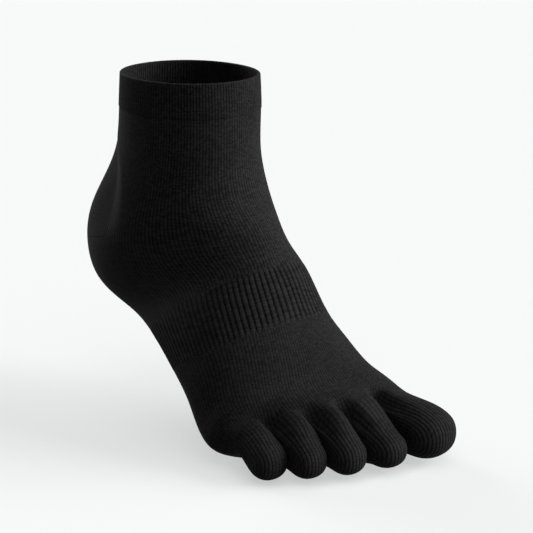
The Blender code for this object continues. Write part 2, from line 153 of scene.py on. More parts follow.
# Its seam, a narrow groove
SEAM_WIDTH = 0.9 * MM  # half the groove's width
SEAM_SHOWN = 115.0  # degrees from the top of the sleeve from which on it shows in full
SEAM_FADE = 35.0  # degrees above that over which it fades out
SEAM_FADED = 1.5 * MM  # added to the distance from it where it has faded out
LOWER_SEAM_FAINTER = 0.3 * MM  # added to the distance from the pocket's lower seam
NO_SEAM = 1.0  # distance from it in the zones that have none

# Stitches: a wale is one column of loops, a course is one row of them. In a fine sock a wale is
# about 1.2 mm wide and a course 0.6 mm high, too fine to show in the render, so both are coarser.
WALES = 150  # round the leg
COURSE = 0.75 * MM
CUFF_RELIEF = 0.22 * MM
CUFF_INSIDE_SHARE = 0.25  # share of that relief on the inside of the cuff
TOE_WALE = 2.0 * MM  # width of a wale of the toe pockets, which show coarser
TOE_RELIEF = 0.22 * MM
TOE_RELIEF_START = 0.05  # share of a pocket's length where the relief begins
TOE_RELIEF_GROWTH = 0.5  # and over which it grows to its full depth
TOE_RELIEF_FADE = 0.35  # share of a pocket's height over which it ends at the sides

# The arch band. Widths of the groove between two ribs and of the fine line along each rib's
# middle are shares of a rib.
BAND_TOP_BACK = 0.55  # rings by which its back edge reaches further back on top
BAND_TOP_BACK_POWER = 1.5
BAND_TOP_FRONT = 0.12  # rings by which its front edge reaches further forward there
BAND_MARGIN = 1.8 * MM  # from the band's edge to the ribs' ends
RIB_COUNT = 90
RIB_RISE = 0.15 * MM  # from the band's skin to the top of a rib
RIB_DEPTH = 0.45 * MM  # from there to the bottom of a groove
RIB_GROOVE = 0.21
RIB_LINE = 0.09
RIB_LINE_DEPTH = 0.08 * MM
RIB_ROUND = 1.4 * MM  # length of the round in which a rib ends
RIB_STAGGER = 0.4 * MM  # by how much ribs end before or behind their neighbours

# The hollow behind the ankle bone, by rings along the leg and degrees round it
HOLLOW_MIDDLE = 2.9
HOLLOW_LENGTH = 1.1  # half its length
HOLLOW_CREST = 88.0  # where its front edge ends up, low down
HOLLOW_LEAN = 27.0  # and how much further back that edge is at the ankle
HOLLOW_LEAN_RINGS = 0.75  # rings over which it comes forward
HOLLOW_FRONT = 16.0  # width of its steep front
HOLLOW_END = 144.0  # where it ends, towards the tendon
HOLLOW_DEPTH = 2.4 * MM
HOLLOW_WIDTH = 40.0  # width of the hollow where it has that depth

# How finely the surfaces are drawn
RING_SAMPLES = 2880  # round a ring, where its length is measured
WALE_SAMPLES = 720  # round a ring, where its wales are counted
LEG_SAMPLES = 400  # down the leg, where drops from the rim are measured
CUFF_COLUMNS = 8  # a wale
RIB_COLUMNS = 12  # a rib
TOE_COLUMNS = 7  # a wale
HEEL_COLUMNS = 230  # across the heel pocket
FRONT_COLUMNS = 64  # from the heel pocket to the top of the foot, on each side
WEB_COLUMNS = 36  # from one gap between toes to the next
LEG_STEPS = 56  # rows from the cuff to the heel pocket
HEEL_STEPS = 36  # rows of the heel pocket
ARCH_STEPS = 30  # rows from the heel pocket to the arch band
INSTEP_STEPS = 39  # rows from the arch band to the ball
BALL_STEPS = 30  # rows from the ball to the toe line
TOE_STEPS = 30  # rows from the toe line to a pocket's rounded end
TIP_STEPS = 48  # rows round that end
EDGE_SAMPLES = 160  # along a pocket's half of the toe line
SECTION_SAMPLES = 720  # round the upper half of a pocket's cross-section
SHORT_STEP = 0.01  # rings, over which the knit's way at the toe line is measured
SHARP_ANGLE = 70.0  # degrees between faces, past which an edge isn't shaded smooth

# The look of the knit. Each weight is how much its cause adds to the share of the light colour.
LOOP_ROUNDNESS = 1.6  # exponent of a loop's height across its wale
LOOP_SLANT = 0.45  # courses by which a loop's legs slope away from its middle
LOOP_BEAT = 0.15  # how much the height swings from course to course
# painted shade and light: the loops' height makes the colour darker in the grooves between wales
# and lighter on the loops
PAINTED_LOOP_SHADE_WEIGHT = 0.6
STITCH_WEIGHT = 0.45  # of a value of its own for each stitch
FIBRE_WEIGHT = 0.8
TONE_WEIGHT = 0.2
WEIGHTS_START = -0.5
FIBRE_SIZE = 0.8 * MM  # real cotton fibres are too fine to show, so these are small tufts
TONE_SIZE = 14.0 * MM  # patches that took the dye a little differently
# painted shade: the colour is darkened towards the bottom of the seam's groove
PAINTED_SEAM_SHADE = 0.4  # brightness at the bottom of the seam's groove
SEAM_SINK = 2.0  # depth of the groove, in heights of a loop

# The camera at the photograph's angle
CAMERA_SPOT = Vector((-0.5689, -0.6317, 0.1487))
CAMERA_AIM = Vector((0.0180, -0.0407, -0.1060))
CAMERA_LENS = 106.35  # mm, on a sensor of the width below
CAMERA_SENSOR = 36.0
CAMERA_AHEAD = ((CAMERA_AIM - CAMERA_SPOT) * Vector((1.0, 1.0, 0.0))).normalized()
CAMERA_RIGHT = CAMERA_AHEAD.cross(Vector((0.0, 0.0, 1.0)))

# Soft, far studio lights. Right, behind and above are how far each stands from the sock, as the
# camera sees it, and softness is how many degrees of the view from the sock it fills.
StudioLight = namedtuple("StudioLight", "name right behind above softness strength")
STUDIO_LIGHTS = (
    StudioLight("right_light", 1.0, 0.02, 0.34, 50.0, 18.5),
    StudioLight("back_left_light", -0.95, 1.0, 0.65, 30.0, 5.0),
    StudioLight("top_light", 0.25, -0.5, 1.5, 70.0, 5.0),
)
ROOM_LIGHT = 0.1  # strength of the even light from all round
FLOOR_REACH = 6.0  # from the middle of the floor to each of its sides
PAPER_GLOW = 0.535  # the share of the paper's white that no shadow takes away

STATIONS = {row.name: station for station, row in enumerate(LEG_ROWS + FOOT_ROWS)}
TOE_LINE = STATIONS["toe_line"]
BAND_START, BAND_END = STATIONS["band_back"], STATIONS["band_front"]
VALLEY_START = STATIONS["ball"] + 0.5


def power(value, exponent):
    """The value's size raised to the exponent, with its sign kept."""
    return np.sign(value) * np.abs(value) ** exponent


def smooth_step(value):
    """0 up to 0, 1 from 1 on, and t squared times (3 - 2t) in between."""
    share = np.clip(value, 0.0, 1.0)
    return share * share * (3.0 - 2.0 * share)


def cubic(t, start, start_way, end, end_way, length):
    """The curve from start to end that leaves and arrives along the two ways, at shares t.

    It is (2t^3 - 3t^2 + 1) start + (t^3 - 2t^2 + t) length start_way + (3t^2 - 2t^3) end
    + (t^3 - t^2) length end_way.
    """
    return (
        (2 * t**3 - 3 * t**2 + 1) * start
        + (t**3 - 2 * t**2 + t) * length * start_way
        + (3 * t**2 - 2 * t**3) * end
        + (t**3 - t**2) * length * end_way
    )


def distance_along(points):
    """Length from the first point of a line on to each of its points, or so for each column."""
    steps = np.linalg.norm(np.diff(points, axis=0), axis=-1)
    return np.concatenate([np.zeros_like(steps[:1]), np.cumsum(steps, axis=0)])


def place(points):
    """Foot coordinates to the model's frame: x is -across, y is LEG_REACH - forward."""
    forward, across, height = np.moveaxis(points, -1, 0)
    return np.stack([-across, LEG_REACH - forward, height + FLOOR], axis=-1)


def ring_table():
    """One row of numbers a ring: sole and top point, half widths, belly, square, skew, tilt."""
    rows = []
    for row in LEG_ROWS:
        height = HEEL_LIFT + FOOT_HEIGHT + row.level * LEG_HEIGHT
        back = LEG_REACH - row.back * LEG_DEPTH
        front = LEG_REACH + row.front * LEG_DEPTH
        sides = (row.outer * LEG_WIDTH, row.inner * LEG_WIDTH)
        rows.append((back, height, front, height, *sides, LEG_BELLY, LEG_SQUARENESS, 0.0, 0.0))
    for row in FOOT_ROWS:
        base = row.lift * HEEL_LIFT
        sole = (row.sole_reach * FOOT_REACH, base + row.sole_rise * FOOT_HEIGHT)
        top = (row.top_reach * FOOT_REACH, base + row.top_rise * FOOT_HEIGHT)
        sides = (row.outer * BALL_WIDTH, row.inner * BALL_WIDTH)
        rows.append((*sole, *top, *sides, row.belly, row.square, row.skew, row.tilt))
    return np.array(rows)


RING_TABLE = ring_table()


def ring_points(angles):
    """Every ring's points at the angles, ring by ring: superellipses in slanted planes.

    With u = cos(angle)^(2/square) and v = sin(angle)^(2/square), across is v times the half
    width, and u runs from the sole point at -1 through the belly at 0 to the top point at 1.
    The angle is 0 at the top, a quarter turn at the outer side and a half turn at the sole.
    """
    table = RING_TABLE.T[:, :, None]
    sole_forward, sole_height, top_forward, top_height = table[:4]
    outer, inner, belly, square, skew, tilt = table[4:]
    up = power(np.cos(angles), 2.0 / square)
    side = power(np.sin(angles), 2.0 / square)
    across = np.where(side > 0.0, outer, inner) * side
    level = belly + np.where(up > 0.0, 1.0 - belly, belly) * up
    forward = sole_forward + level * (top_forward - sole_forward) - skew * across
    height = sole_height + level * (top_height - sole_height) - tilt * level * across
    return np.stack([forward, across, height], axis=-1)


def spline_slopes(knots, last):
    """Slopes of the smoothest cubic through each column's knots, and the knots' distances.

    With h the distance from a knot to the next and d the direction, the slopes solve
    h[k] s[k-1] + 2 (h[k-1] + h[k]) s[k] + h[k-1] s[k+1] = 3 (h[k] d[k-1] + h[k-1] d[k]).
    The first ones solve 2 s + s' = 3 d, where the curve starts straight, and the last are given.
    """
    chords = np.diff(knots, axis=0)
    lengths = np.linalg.norm(chords, axis=-1)
    ways = chords / lengths[..., None]
    count = len(knots)
    inside = np.arange(1, count - 1)
    system = np.zeros((knots.shape[1], count, count))
    system[:, inside, inside - 1] = lengths[1:].T
    system[:, inside, inside] = 2.0 * (lengths[:-1] + lengths[1:]).T
    system[:, inside, inside + 1] = lengths[:-1].T
    system[:, 0, :2] = 2.0, 1.0
    system[:, -1, -1] = 1.0
    right = np.empty_like(knots)
    right[1:-1] = 3.0 * (lengths[1:, :, None] * ways[:-1] + lengths[:-1, :, None] * ways[1:])
    right[0], right[-1] = 3.0 * ways[0], last
    slopes = np.linalg.solve(system, right.transpose(1, 0, 2)).transpose(1, 0, 2)
    return slopes, lengths


def toe_line_forward(across):
    """How far forward the toe pockets begin: a smooth curve through the rows of WEB_ROWS."""
    marks = np.array([row.across * BALL_WIDTH for row in WEB_ROWS])
    reaches = np.array([row.reach * FOOT_REACH for row in WEB_ROWS])
    slopes = np.gradient(reaches, marks)
    before = np.clip(np.searchsorted(marks, across) - 1, 0, len(marks) - 2)
    step = marks[before + 1] - marks[before]
    t = np.clip((across - marks[before]) / step, 0.0, 1.0)
    return cubic(t, reaches[before], slopes[before], reaches[before + 1], slopes[before + 1], step)


def ankle_hollow(stations, angles):
    """How far the skin sinks in the hollow behind the ankle bone, on the outer side.

    Across the hollow the depth climbs fast from the crest at its front and falls slowly
    towards the tendon, both by smooth steps, and it grows with the hollow's width. Along the leg
    it swells and fades by exp(-((station - middle) / length)^4). The crest lies further back by
    HOLLOW_LEAN at the ankle, and by exp(-rings / HOLLOW_LEAN_RINGS) of that below it.
    """
    below = (stations - STATIONS["ankle"]) / HOLLOW_LEAN_RINGS
    crest = HOLLOW_CREST + HOLLOW_LEAN * np.exp(-below)
    width = np.maximum(HOLLOW_END - crest, 1.0)
    behind = np.degrees(angles) - crest
    front = smooth_step(behind / HOLLOW_FRONT)
    back = 1.0 - smooth_step((behind - HOLLOW_FRONT) / np.maximum(width - HOLLOW_FRONT, 1.0))
    along = np.exp(-(((stations - HOLLOW_MIDDLE) / HOLLOW_LENGTH) ** 4))
    return HOLLOW_DEPTH * width / HOLLOW_WIDTH * along * front * back


def sleeve(stations, angles):
    """Points of the sleeve's skin in foot coordinates: a row a station, a column an angle.

    A station counts rings from the rim, and may differ from column to column. In between, a
    column follows the smooth cubic through all the rings. In front of the ball the skin dips
    towards the gaps between the toes by a bell curve round each gap.
    """
    angles = np.asarray(angles, float)
    stations = np.asarray(stations, float)
    if stations.ndim == 1:
        stations = stations[:, None]
    stations = np.broadcast_to(stations, (len(stations), len(angles)))
    columns = np.arange(len(angles))
    rings = ring_points(angles)
    rings[-1, :, 0] = toe_line_forward(rings[-1, :, 1])
    fall = -TOE_LINE_FALL * np.maximum(np.cos(angles), 0.0)
    last = np.stack([np.ones_like(fall), np.full_like(fall, TOE_LINE_SPREAD), fall], axis=-1)
    slopes, lengths = spline_slopes(rings, last)
    above = np.clip(np.floor(stations).astype(int), 0, len(rings) - 2)
    points = cubic(
        (stations - above)[..., None],
        rings[above, columns],
        slopes[above, columns],
        rings[above + 1, columns],
        slopes[above + 1, columns],
        lengths[above, columns][..., None],
    )
    growth = smooth_step((stations - VALLEY_START) / (TOE_LINE - VALLEY_START))
    depth = np.where(np.cos(angles) > 0.0, TOE_VALLEY, SOLE_VALLEY) * np.cos(angles)
    dips = sum(
        np.exp(-(((points[..., 1] - row.across * BALL_WIDTH) / VALLEY_SPREAD) ** 2))
        for row in WEB_ROWS[1:-1]
    )
    points[..., 2] -= growth * depth * dips
    return points


def outward(points):
    """Unit normals of a grid of placed points whose columns run round: around cross along."""
    along = np.gradient(points, axis=0)
    around = np.gradient(points, axis=1)
    if np.allclose(points[:, 0], points[:, -1]):
        around[:, 0] = around[:, -1] = 0.5 * (points[:, 1] - points[:, -2])
    normals = np.cross(around, along)
    return normals / np.maximum(np.linalg.norm(normals, axis=-1, keepdims=True), 1e-12)


def band_edges(angles):
    """Stations of the arch band's two edges: on top the band is wider than between its rings.

    With top = (1 + cos(angle)) / 2, the back edge is BAND_TOP_BACK top^1.5 rings further back
    and the front edge BAND_TOP_FRONT top rings further forward.
    """
    top = 0.5 + 0.5 * np.cos(angles)
    start = BAND_START - BAND_TOP_BACK * top**BAND_TOP_BACK_POWER
    return start, BAND_END + BAND_TOP_FRONT * top


def even_angles(station, count, start=0.0, end=math.tau):
    """Angles that part a stretch of the ring at a station into equal lengths, ends included."""
    fine = np.linspace(start, end, RING_SAMPLES + 1)
    run = distance_along(sleeve([station], fine)[0])
    return np.interp(np.linspace(0.0, run[-1], count + 1), run, fine)


def stations_below_rim(drops):
    """The stations of the leg's rings that lie the given distances below the rim."""
    fine = np.linspace(0.0, STATIONS["ankle"], LEG_SAMPLES + 1)
    fall = -FLOOR - sleeve(fine, [0.0])[:, 0, 2]
    return np.interp(drops, fall, fine)


def between(start, end, count):
    """Rows of stations from one edge to another, count steps of equal share."""
    shares = np.linspace(0.0, 1.0, count + 1)[:, None]
    return start + shares * (end - start)


def closed_skin(outer, inner, same, kept):
    """Points, face sizes, face corners and each corner's spot in the grid, for a closed zone.

    Same numbers the grid's points, and equal numbers are one point, as at a seam that closes a
    ring or at a pole. Kept marks the cells that are there. Where there is an inner skin, its
    faces are turned round, and a narrow edge joins it to the outer skin along every directed
    side of an outer face whose opposite isn't a side too.
    """
    spots = np.arange(same.size).reshape(same.shape)
    cells = np.stack([spots[:-1, :-1], spots[:-1, 1:], spots[1:, 1:], spots[1:, :-1]], -1)[kept]
    _, first, number = np.unique(same.ravel(), return_index=True, return_inverse=True)
    points = outer.reshape(-1, 3)[first]
    faces, face_spots = number[cells], cells
    if inner is not None:
        count = len(first)
        points = np.concatenate([points, inner.reshape(-1, 3)[first]])
        starts, ends = faces.ravel(), np.roll(faces, -1, axis=1).ravel()
        real = starts != ends
        starts, ends, spot = starts[real], ends[real], cells.ravel()[real]
        next_spot = np.roll(cells, -1, axis=1).ravel()[real]
        lone = ~np.isin(starts * count + ends, ends * count + starts)
        rim = np.stack([ends, starts, starts + count, ends + count], -1)[lone]
        rim_spots = np.stack([next_spot, spot, spot, next_spot], -1)[lone]
        faces = np.concatenate([faces, faces[:, ::-1] + count, rim])
        face_spots = np.concatenate([cells, cells[:, ::-1], rim_spots])
    distinct = faces != np.roll(faces, -1, axis=1)
    sizes = distinct.sum(axis=1)
    distinct &= (sizes > 2)[:, None]
    used, corners = np.unique(faces[distinct], return_inverse=True)
    return points[used], sizes[sizes > 2], corners, face_spots[distinct]


def shell(name, outer, inner, stitches, finish, node, same=None, kept=None, seam=None):
    """A knitted zone as one closed mesh: outer skin, inner skin turned round, and edges.

    The grids are rows by columns. Without same every point of the grid is its own, and without
    kept every cell is there. Stitches is the grid's UV map, counted in wales and courses, and
    seam is the distance of each point from the heel pocket's seam.
    """
    rows, columns = outer.shape[:2]
    if same is None:
        same = np.arange(rows * columns).reshape(rows, columns)
    if kept is None:
        kept = np.ones((rows - 1, columns - 1), bool)
    if seam is None:
        seam = np.full((rows, columns), NO_SEAM)
    points, sizes, corners, spots = closed_skin(outer, inner, same, kept)
    starts = np.concatenate([[0], np.cumsum(sizes)[:-1]])
    mesh = bpy.data.meshes.new(name)
    mesh.vertices.add(len(points))
    mesh.vertices.foreach_set("co", points.astype(np.float32).ravel())
    mesh.loops.add(len(corners))
    mesh.loops.foreach_set("vertex_index", corners.astype(np.int32))
    mesh.polygons.add(len(sizes))
    mesh.polygons.foreach_set("loop_start", starts.astype(np.int32))
    mesh.polygons.foreach_set("loop_total", sizes.astype(np.int32))
    layer = mesh.uv_layers.new(name="stitches")
    layer.data.foreach_set("uv", stitches.reshape(-1, 2)[spots].astype(np.float32).ravel())
    distances = mesh.attributes.new("seam", "FLOAT", "CORNER")
    distances.data.foreach_set("value", seam.ravel()[spots].astype(np.float32))
    mesh.update(calc_edges=True)
    mesh.validate()
    mesh.shade_smooth()
    mesh.set_sharp_from_angle(angle=math.radians(SHARP_ANGLE))
    mesh.materials.append(finish)
    zone = bpy.data.objects.new(name, mesh)
    bpy.context.scene.collection.objects.link(zone)
    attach(zone, "root")
    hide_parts(node)
    return zone


def ring_ids(rows, columns):
    """Point numbers of a grid whose last column is its first."""
    numbers = np.arange(rows * columns).reshape(rows, columns)
    numbers[:, -1] = numbers[:, 0]
    return numbers


def wale_at(angles, station):
    """Which wale lies at an angle: wales part the ring at a station into equal lengths."""
    fine = even_angles(station, WALE_SAMPLES)
    turns = np.floor(angles / math.tau + 1e-9)
    counted = np.linspace(0.0, WALES, WALE_SAMPLES + 1)
    return np.interp(angles - turns * math.tau, fine, counted) + turns * WALES


def wale_relief(wale):
    """Height of the knit across a wale, 0 in the groove and 1 on the loops: 1 - |2f - 1|^3."""
    return 1.0 - np.abs(2.0 * (wale % 1.0) - 1.0) ** 3


def stitch_grid(points, wales):
    """UV of a grid in stitches: wales round the sleeve and courses along it."""
    wales = np.broadcast_to(wales, points.shape[:2])
    return np.stack([wales, distance_along(points) / COURSE], axis=-1)


def skin_and_lining(stations, angles):
    """The two skins of a zone and their normals: the sleeve, and the same a wall further in.

    The sleeve is sunk along its normals by the hollow behind the ankle bone.
    """
    skin = place(sleeve(stations, angles))
    skin = skin - ankle_hollow(stations, angles)[..., None] * outward(skin)
    normals = outward(skin)
    return skin, skin - WALL * normals, normals


def build_cuff(finish):
    """The doubled band: a profile carried round the leg.

    The profile begins with the round of the lower edge, runs up the outer face, over the rim
    in a half circle, down the inner face and back under the lower edge. Out is measured along
    the leg's normal half way down the cuff, and drop from the rim.
    """
    roll = 0.5 * CUFF_WALL
    tuck = np.linspace(-0.5 * math.pi, 0.0, 4)
    face = np.linspace(CUFF_HEIGHT - CUFF_LIP, roll, 12)[1:]
    turn = np.linspace(0.0, math.pi, 11)[1:-1]
    inside = np.linspace(roll, CUFF_HEIGHT, 9)
    drops = (
        CUFF_HEIGHT - CUFF_LIP - CUFF_LIP * np.sin(tuck),
        face,
        roll - roll * np.sin(turn),
        inside,
    )
    outs = (
        -CUFF_LIP + CUFF_LIP * np.cos(tuck),
        np.zeros_like(face),
        roll * (np.cos(turn) - 1.0),
        np.full_like(inside, -CUFF_WALL),
    )
    out = np.concatenate(outs)
    angles = even_angles(STATIONS["ankle"], WALES * CUFF_COLUMNS)
    skin = place(sleeve(stations_below_rim(np.concatenate(drops)), angles))
    levels = np.linspace(0.0, stations_below_rim(CUFF_HEIGHT), 5)
    normals = outward(place(sleeve(levels, angles)))[2]
    outside = smooth_step(1.0 + out / roll)
    outside[: len(tuck) - 1] = 0.0
    share = CUFF_INSIDE_SHARE + (1.0 - CUFF_INSIDE_SHARE) * outside[:, None]
    wales = wale_at(angles, STATIONS["ankle"])
    relief = CUFF_RELIEF * (wale_relief(wales) - 1.0) * share
    points = skin + (CUFF_PROUD + out[:, None, None] + relief[..., None]) * normals
    points = np.concatenate([points, points[:1]])
    same = ring_ids(*points.shape[:2])
    same[-1] = same[0]
    stitches = stitch_grid(points, wales)
    return shell("knit_cuff", points, None, stitches, finish, "cuff", same)


def heel_edges(angles):
    """Stations of the heel pocket's upper and lower edge, at each angle round the sleeve.

    Past is how far the cosine is above HEEL_CLIMB_COSINE, in units of the ease. The upper edge
    climbs by ln(1 + e^past) times the ease and HEEL_CLIMB_RINGS, and the lower edge falls evenly
    with the cosine, from the gore at the side to HEEL_END_RING under the sole.
    """
    cosine = np.minimum(np.cos(angles), GORE_COSINE)
    past = (cosine - HEEL_CLIMB_COSINE) / HEEL_CLIMB_EASE_COSINE
    upper = HEEL_TOP_RING - HEEL_CLIMB_RINGS * HEEL_CLIMB_EASE_COSINE * np.logaddexp(0.0, past)
    low_end = upper[np.argmax(cosine)] + GORE_RINGS
    lower = low_end + (HEEL_END_RING - low_end) * (GORE_COSINE - cosine) / (GORE_COSINE + 1.0)
    return upper, lower


def heel_angles():
    """Angles across the heel pocket, and those of the leg before and after them."""
    gore = math.acos(GORE_COSINE)
    across = even_angles(HEEL_TOP_RING, HEEL_COLUMNS, gore, math.tau - gore)
    before = even_angles(HEEL_TOP_RING, FRONT_COLUMNS, 0.0, gore)[:-1]
    after = even_angles(HEEL_TOP_RING, FRONT_COLUMNS, math.tau - gore)[1:]
    return across, before, after


def seam_distance(skin, angles, upper_row, lower_row):
    """Distance of each point from the heel pocket's nearer seam, more where a seam fades out.

    The seams run along two rows of the grid, and fade out towards the top of the sleeve.
    """
    run = distance_along(skin)
    away = np.abs(((np.degrees(angles) + 180.0) % 360.0) - 180.0)
    fade = smooth_step((SEAM_SHOWN - away) / SEAM_FADE) * SEAM_FADED
    upper, lower = (np.abs(run - run[row]) + fade for row in (upper_row, lower_row))
    return np.minimum(upper, lower + LOWER_SEAM_FAINTER)


def build_leg_and_foot(finish):
    """The sleeve from the cuff to the arch band, with a window where the heel pocket is."""
    across, before, after = heel_angles()
    angles = np.concatenate([before, across, after])
    upper, lower = heel_edges(angles)
    above = between(stations_below_rim(CUFF_HEIGHT - CUFF_OVERLAP), upper, LEG_STEPS)
    beside = between(upper, lower, HEEL_STEPS)
    ahead = between(lower, band_edges(angles)[0], ARCH_STEPS)
    stations = np.concatenate([above, beside[1:], ahead[1:]])
    skin, lining, _ = skin_and_lining(stations, angles)
    window_rows = slice(LEG_STEPS, LEG_STEPS + HEEL_STEPS)
    window_columns = slice(len(before), len(before) + HEEL_COLUMNS)
    kept = np.ones((len(stations) - 1, len(angles) - 1), bool)
    kept[window_rows, window_columns] = False
    return shell(
        "plain_leg_and_foot",
        skin,
        lining,
        stitch_grid(skin, wale_at(angles, STATIONS["ankle"])),
        finish,
        "leg_and_foot",
        ring_ids(*skin.shape[:2]),
        kept,
        seam_distance(skin, angles, LEG_STEPS, LEG_STEPS + HEEL_STEPS),
    )


def build_heel(finish):
    """The heel pocket, between its two edges."""
    angles = heel_angles()[0]
    upper, lower = heel_edges(angles)
    skin, lining, _ = skin_and_lining(between(upper, lower, HEEL_STEPS), angles)
    stitches = stitch_grid(skin, wale_at(angles, STATIONS["ankle"]))
    seam = seam_distance(skin, angles, 0, -1)
    return shell(
        "turned_heel", skin, lining, stitches, finish, "heel_pocket", seam=seam
    )


def build_arch_band(finish):
    """The elastic band: RIB_COUNT ribs, each with a fine line along its middle.

    The groove between two ribs and the line are bell curves across. Near the band's edges every
    rib ends in a round, a little before or behind its neighbours, by a sum of two sines of its
    number. Rows lie closer together there.
    """
    angles = even_angles(BAND_START, RIB_COUNT * RIB_COLUMNS)
    ends = np.array([0.0, 0.004, 0.01, 0.018, 0.028, 0.04, 0.055, 0.075])
    shares = np.concatenate([ends, np.linspace(0.1, 0.9, 13), 1.0 - ends[::-1]])
    start, end = band_edges(angles)
    skin, lining, normals = skin_and_lining(start + shares[:, None] * (end - start), angles)
    run = distance_along(skin)
    rib = np.linspace(0.0, RIB_COUNT, len(angles))
    number = np.round(rib)
    stagger = RIB_STAGGER * (np.sin(1.9 * number) + np.sin(0.8 * number + 1.0))
    from_start = run - BAND_MARGIN - stagger
    from_end = run[-1] - run - BAND_MARGIN + stagger
    groove = np.exp(-(((rib - number) / RIB_GROOVE) ** 2))
    middle = np.exp(-(((rib % 1.0 - 0.5) / RIB_LINE) ** 2))
    inside = smooth_step(from_start / RIB_ROUND + 0.5) * smooth_step(from_end / RIB_ROUND + 0.5)
    relief = RIB_RISE - RIB_DEPTH * groove - RIB_LINE_DEPTH * middle
    skin = skin + (inside * relief)[..., None] * normals
    stitches = np.stack([np.broadcast_to(rib, run.shape), run / COURSE], axis=-1)
    same = ring_ids(*run.shape)
    return shell("ribbed_arch_band", skin, lining, stitches, finish, "arch_band", same)


def web_angles():
    """Angles on the toe line's ring of the marks between the toes, on its upper half."""
    outer, inner, square = RING_TABLE[TOE_LINE][[4, 5, 7]]
    marks = np.array([row.across * BALL_WIDTH for row in WEB_ROWS])
    shares = np.clip(marks / np.where(marks > 0.0, outer, inner), -1.0, 1.0)
    return np.arcsin(power(shares, square / 2.0))


def build_forefoot(finish):
    """The sleeve from the arch band to the toe line, dipping between the toes.

    Its columns part each stretch from one gap between toes to the next into equal angles, on
    top and, mirrored, under the sole.
    """
    quarter = 0.5 * math.pi
    marks = np.concatenate([[-quarter], web_angles()[1:-1], [quarter]])
    over = [
        np.linspace(mark, next_mark, WEB_COLUMNS, endpoint=False)
        for mark, next_mark in zip(marks, marks[1:])
    ]
    over = np.concatenate(over)
    angles = np.concatenate([over, math.pi - over, [-quarter, 3.0 * quarter]])
    angles = np.unique(np.round(angles, 9))
    ball, toes = (np.full(len(angles), float(station)) for station in (STATIONS["ball"], TOE_LINE))
    to_ball = between(band_edges(angles)[1], ball, INSTEP_STEPS)
    stations = np.concatenate([to_ball, between(ball, toes, BALL_STEPS)[1:]])
    skin, lining, _ = skin_and_lining(stations, angles)
    stitches = stitch_grid(skin, wale_at(angles, STATIONS["ball"]))
    same = ring_ids(*skin.shape[:2])
    return shell("plain_forefoot", skin, lining, stitches, finish, "forefoot", same)


def resampled(points, shares, *others):
    """Points at the shares of a line's length, and other values of the line there."""
    run = distance_along(points)
    run /= run[-1]
    return [
        np.stack([np.interp(shares, run, column) for column in values.T], axis=-1)
        for values in (points, *others)
    ]


def toe_edge(number, upper, shares):
    """Half of a pocket's outline on the toe line, and the way in which the knit leaves it.

    The upper half runs from the middle of the pocket's inner side over the top to the middle of
    its outer side, the lower half does so under the sole. A side next to another toe is
    straight, and the foot's own two sides follow its ring.
    """
    toe = TOE_ROWS[number]
    webs = web_angles()
    first = -0.5 * math.pi if number == 0 else webs[number]
    last = 0.5 * math.pi if number == len(TOE_ROWS) - 1 else webs[number + 1]
    over = np.linspace(first, last, EDGE_SAMPLES + 1)
    halves = []
    for angles in (over, math.pi - over):
        line = sleeve([TOE_LINE - SHORT_STEP, TOE_LINE], angles)
        way = line[1] - line[0]
        halves.append((line[1], way / np.linalg.norm(way, axis=-1, keepdims=True)))
    points, ways = halves[0] if upper else halves[1]
    middles = 0.5 * (halves[0][0][[0, -1]] + halves[1][0][[0, -1]])
    centre = points.mean(axis=0)
    ahead = np.array([toe.tip_reach * FOOT_REACH, toe.tip_across * BALL_WIDTH, centre[2]]) - centre
    ahead[2] = 0.0
    ahead /= np.linalg.norm(ahead)
    if number > 0:
        points = np.concatenate([middles[:1], points])
        ways = np.concatenate([ahead[None], ways])
    if number < len(TOE_ROWS) - 1:
        points = np.concatenate([points, middles[1:]])
        ways = np.concatenate([ways, ahead[None]])
    return resampled(points, shares, ways)


def parting_line(number):
    """Across, forward and slope of the line on which two neighbouring toe pockets part."""
    web = WEB_ROWS[number + 1]
    toe, neighbour = TOE_ROWS[number], TOE_ROWS[number + 1]
    whole = toe.width + neighbour.width
    tip_across = (toe.tip_across * neighbour.width + neighbour.tip_across * toe.width) / whole
    tip_forward = 0.5 * (toe.tip_reach + neighbour.tip_reach) * FOOT_REACH
    across, forward = web.across * BALL_WIDTH, web.reach * FOOT_REACH
    return across, forward, (tip_across * BALL_WIDTH - across) / (tip_forward - forward)


def held_apart(skin, along, number):
    """A pocket's skin, bent so that it stays on its own side of its parting lines.

    With past the distance from the line in units of the ease, counted into the pocket, a point
    ends up ease ln(1 + e^past) from the line: where it was, well inside, and on the line itself
    where it was beyond it.
    """
    growth = smooth_step(along / PARTING_EASE_SHARE)
    ease = (PARTING_EASE_ROOT + PARTING_EASE_GROWTH * growth)[:, None]
    forward, across, height = np.moveaxis(skin, -1, 0)
    for web, sign in ((number - 1, 1.0), (number, -1.0)):
        if 0 <= web < len(TOE_ROWS) - 1:
            line_across, line_forward, slope = parting_line(web)
            limit = line_across + slope * (forward - line_forward) + sign * PARTING_GAP
            past = sign * (across - limit) / ease
            across = limit + sign * ease * np.logaddexp(0.0, past)
    return np.stack([forward, across, height], axis=-1)


def toe_slices(toe):
    """Slices across a pocket: their wale, their place across and the share of the height there.

    The upper half of the pocket's cross-section is a superellipse, across = half width times
    sin(spin)^bend and up = cos(spin)^bend, parted by its length into whole wales.
    """
    half_width, half_height = 0.5 * toe.width * BALL_WIDTH, 0.5 * toe.height * BALL_WIDTH
    fine = np.linspace(-0.5 * math.pi, 0.5 * math.pi, SECTION_SAMPLES + 1)
    section = np.stack(
        [half_width * power(np.sin(fine), TOE_BEND), half_height * np.cos(fine) ** TOE_BEND], -1
    )
    run = distance_along(section)
    wales = int(round(run[-1] / TOE_WALE))
    wale = np.linspace(0.0, wales, wales * TOE_COLUMNS + 1)
    spin = np.interp(wale / wales * run[-1], run, fine)
    return wale, half_width * power(np.sin(spin), TOE_BEND), np.abs(np.cos(spin)) ** TOE_BEND


